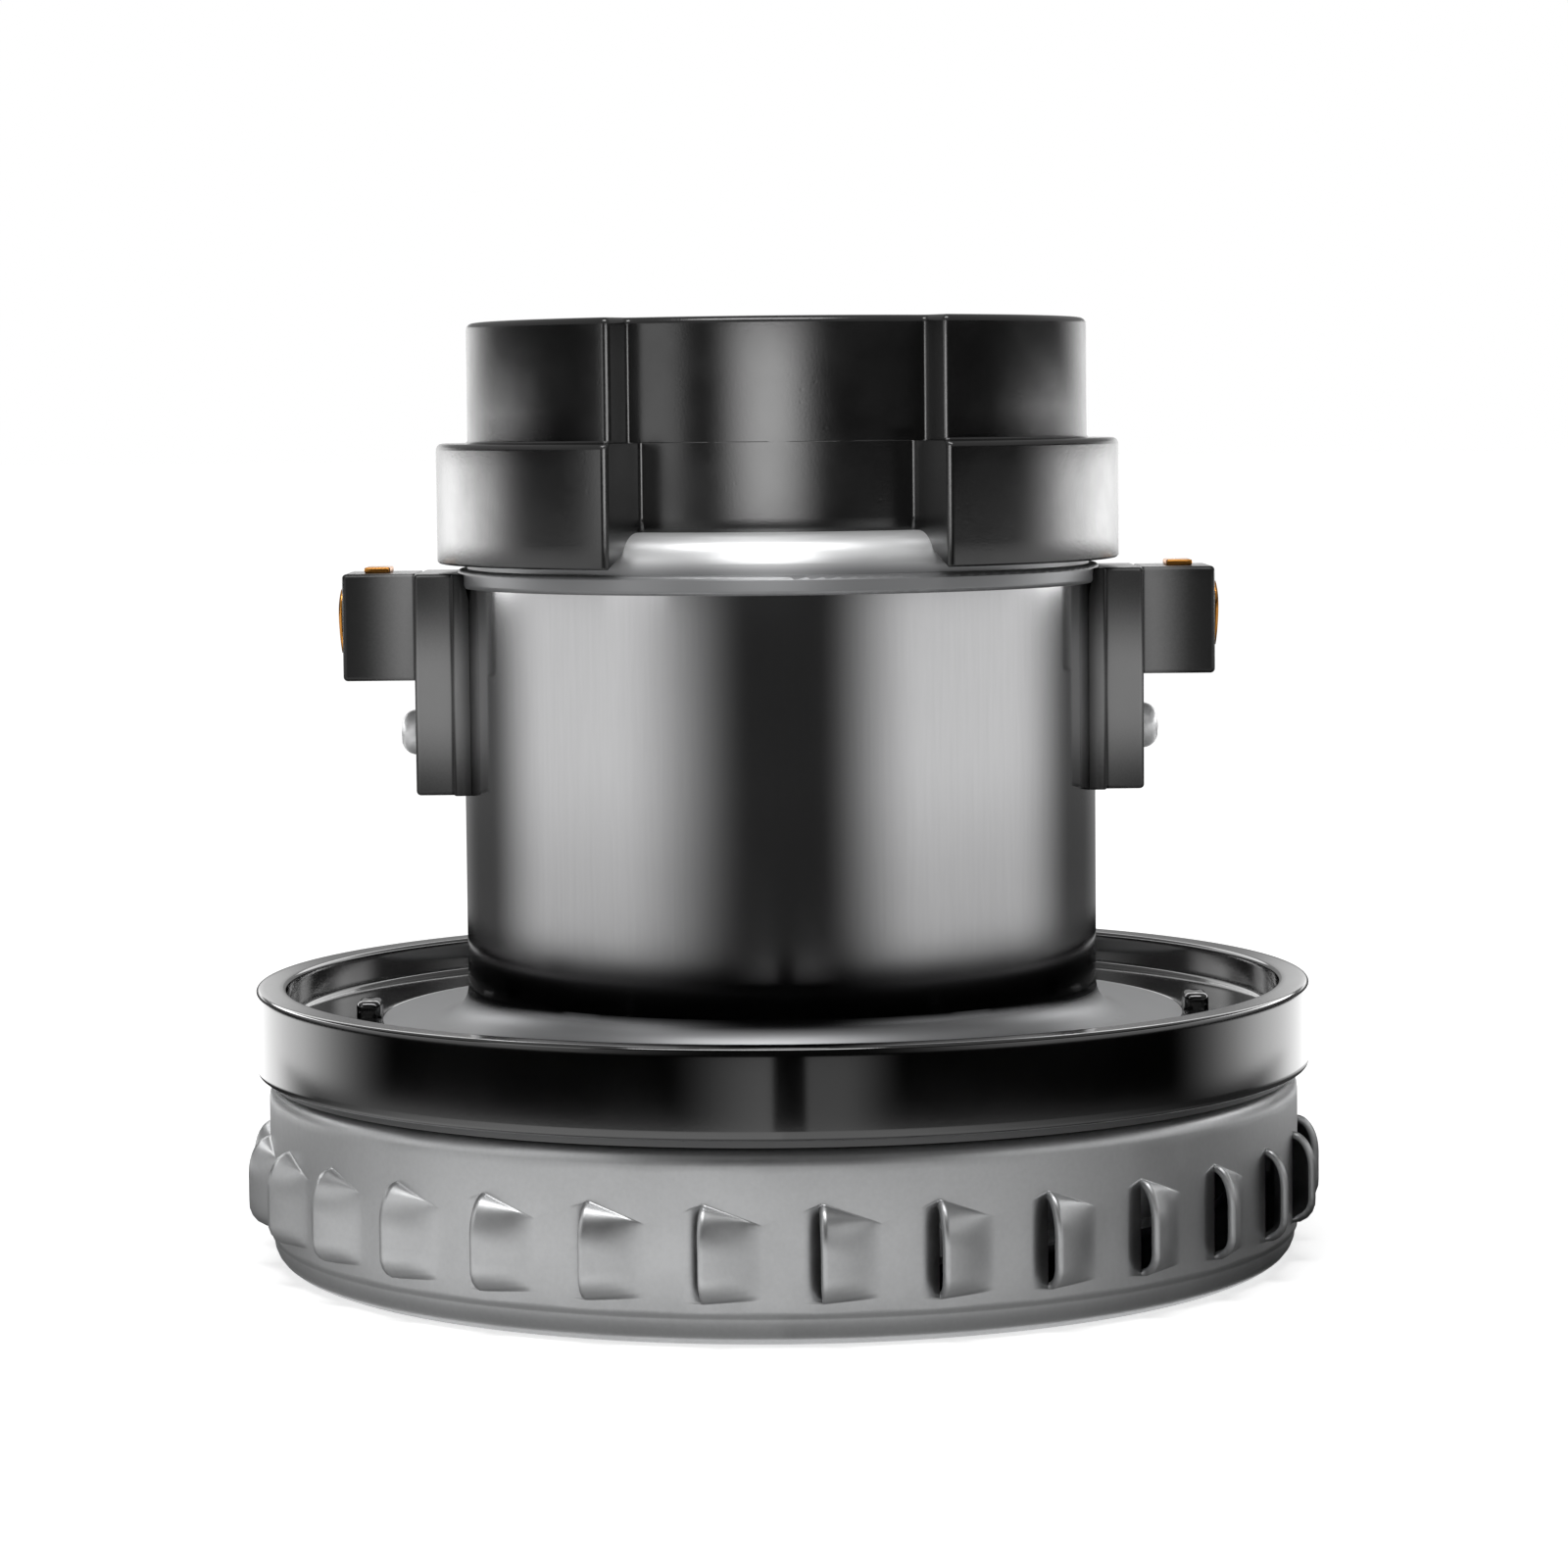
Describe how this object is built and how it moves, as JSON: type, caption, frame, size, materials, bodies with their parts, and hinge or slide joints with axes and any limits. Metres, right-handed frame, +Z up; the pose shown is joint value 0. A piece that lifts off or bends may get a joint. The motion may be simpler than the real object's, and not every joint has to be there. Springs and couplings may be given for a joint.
{
  "type": "vacuum motor unit",
  "caption": "Bypass vacuum motor with louvred fan cover, black seal ring, drawn steel housing, side brush holders and a black fan cap.",
  "frame": {"origin": "centre of the air inlet, in the plane that the inlet cover stands on", "axes": "+Z up along the shaft from the inlet to the fan cap, +X towards the right brush holder, -Y towards the front"},
  "size_m": [0.15, 0.1498, 0.13],
  "materials": {
    "cover_steel": "satin grey, deep drawn sheet",
    "bright_steel": "bright zinc, fine satin",
    "dark_steel": "dark satin, drawn sheet",
    "zinc_steel": "zinc plated",
    "ground_steel": "ground, bright",
    "bearing_steel": "polished",
    "spring_steel": "bright wire",
    "lamination_steel": "stacked sheets, oiled",
    "aluminium": "rolled sheet, plain",
    "black_rubber": "smooth gloss",
    "black_plastic": "moulded, semi gloss",
    "brass": "bright",
    "copper": "turned, bright",
    "enamelled_copper": "enamelled wire",
    "insulating_paper": "matt",
    "phenolic": "moulded phenolic, matt",
    "carbon": "pressed graphite, matt"
  },
  "bodies": {
    "motor_frame": {"inlet_cover": "cover_steel", "fan_plate": "bright_steel", "seal_ring": "black_rubber", "motor_housing": "dark_steel", "housing_rivets": "bright_steel", "upper_bracket": "bright_steel", "fan_cap": "black_plastic", "cap_screws": "bright_steel", "stator_core": "lamination_steel", "field_coil_front": "enamelled_copper", "field_coil_back": "enamelled_copper", "coil_insulator_front": "insulating_paper", "coil_insulator_back": "insulating_paper", "lower_bearing_outer_ring": "bearing_steel", "lower_bearing_shields": "zinc_steel", "upper_bearing_outer_ring": "bearing_steel", "upper_bearing_shields": "zinc_steel", "brush_holder_left": "black_plastic", "brush_holder_right": "black_plastic", "brush_tube_left": "brass", "brush_tube_right": "brass", "brush_terminal_left": "brass", "brush_terminal_right": "brass", "holder_screw_left": "bright_steel", "holder_screw_right": "bright_steel", "brush_spring_left": "spring_steel", "brush_spring_right": "spring_steel"},
    "rotor": {"shaft": "ground_steel", "armature_core": "lamination_steel", "armature_winding": "enamelled_copper", "commutator_hub": "phenolic", "commutator_bars": "copper", "lower_bearing_inner_ring": "bearing_steel", "upper_bearing_inner_ring": "bearing_steel", "impeller_backplate": "aluminium", "impeller_blades": "aluminium", "impeller_shroud": "aluminium", "impeller_spacer": "zinc_steel", "impeller_washer": "zinc_steel", "impeller_nut": "zinc_steel", "cooling_fan": "black_plastic", "cooling_fan_nut": "zinc_steel"},
    "lower_ball_set": {"lower_bearing_cage": "brass", "lower_bearing_balls": "bearing_steel"},
    "upper_ball_set": {"upper_bearing_cage": "brass", "upper_bearing_balls": "bearing_steel"},
    "left_brush": {"carbon_brush_left": "carbon"},
    "right_brush": {"carbon_brush_right": "carbon"}
  },
  "joints": [
    {"name": "rotor_spin", "type": "hinge", "parent": "motor_frame", "child": "rotor", "pos_m": [0, 0, 0.07], "axis": [0, 0, 1], "continuous": true},
    {"name": "lower_cage_spin", "type": "hinge", "parent": "motor_frame", "child": "lower_ball_set", "pos_m": [0, 0, 0.032], "axis": [0, 0, 1], "continuous": true},
    {"name": "upper_cage_spin", "type": "hinge", "parent": "motor_frame", "child": "upper_ball_set", "pos_m": [0, 0, 0.1], "axis": [0, 0, 1], "continuous": true},
    {"name": "left_brush_slide", "type": "slide", "parent": "motor_frame", "child": "left_brush", "axis": [-1, 0, 0], "range_m": [0, 0.005], "stiffness_N_per_m": 50, "springref_m": -0.006, "deforming": ["brush_spring_left"]},
    {"name": "right_brush_slide", "type": "slide", "parent": "motor_frame", "child": "right_brush", "axis": [1, 0, 0], "range_m": [0, 0.005], "stiffness_N_per_m": 50, "springref_m": -0.006, "deforming": ["brush_spring_right"]}
  ],
  "couplings": [
    {"joint": "lower_cage_spin", "follows": "rotor_spin", "ratio": 0.36767},
    {"joint": "upper_cage_spin", "follows": "rotor_spin", "ratio": 0.36767}
  ]
}
